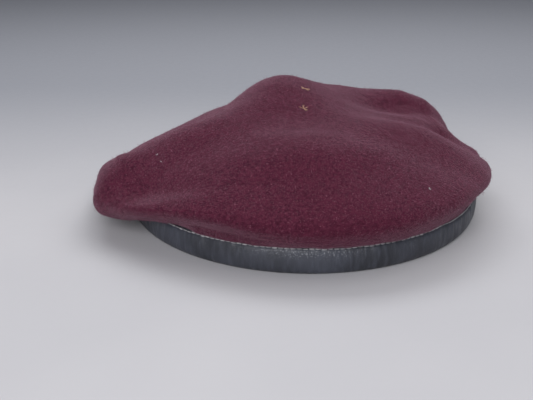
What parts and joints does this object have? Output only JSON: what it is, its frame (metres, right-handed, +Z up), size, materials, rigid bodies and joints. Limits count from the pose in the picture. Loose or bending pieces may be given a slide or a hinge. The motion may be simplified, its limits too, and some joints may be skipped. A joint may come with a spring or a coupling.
{
  "type": "wool beret",
  "caption": "Soft felted wool beret with a leather binding round the head opening, satin lining and draw tape; the crown is pulled over to one side.",
  "frame": {"origin": "under the middle of the whole beret, at the height of the binding's flat underside", "axes": "+Z up through the crown, -Y the front, +X the wearer's left; the crown droops towards the wearer's right, -X"},
  "size_m": [0.2104, 0.2194, 0.0677],
  "materials": {
    "maroon_wool": "felted wool, short raised nap",
    "binding_leather": "satin, slightly dusty",
    "pale_thread": "matt",
    "dark_thread": "matt",
    "cotton_tape": "woven, matt",
    "lining_satin": "satin weave",
    "stiffener_board": "plain board",
    "label_cloth": "woven, blank"
  },
  "bodies": {
    "root": {"wool_shell": "maroon_wool", "leather_binding": "binding_leather", "binding_needle_thread": "pale_thread", "binding_bobbin_thread": "dark_thread", "draw_tape": "cotton_tape", "lining_side": "lining_satin", "lining_tip": "lining_satin", "lining_seam_thread": "dark_thread", "lining_hem_thread": "dark_thread", "badge_stiffener": "stiffener_board", "size_label": "label_cloth", "label_thread": "dark_thread"}
  },
  "joints": []
}
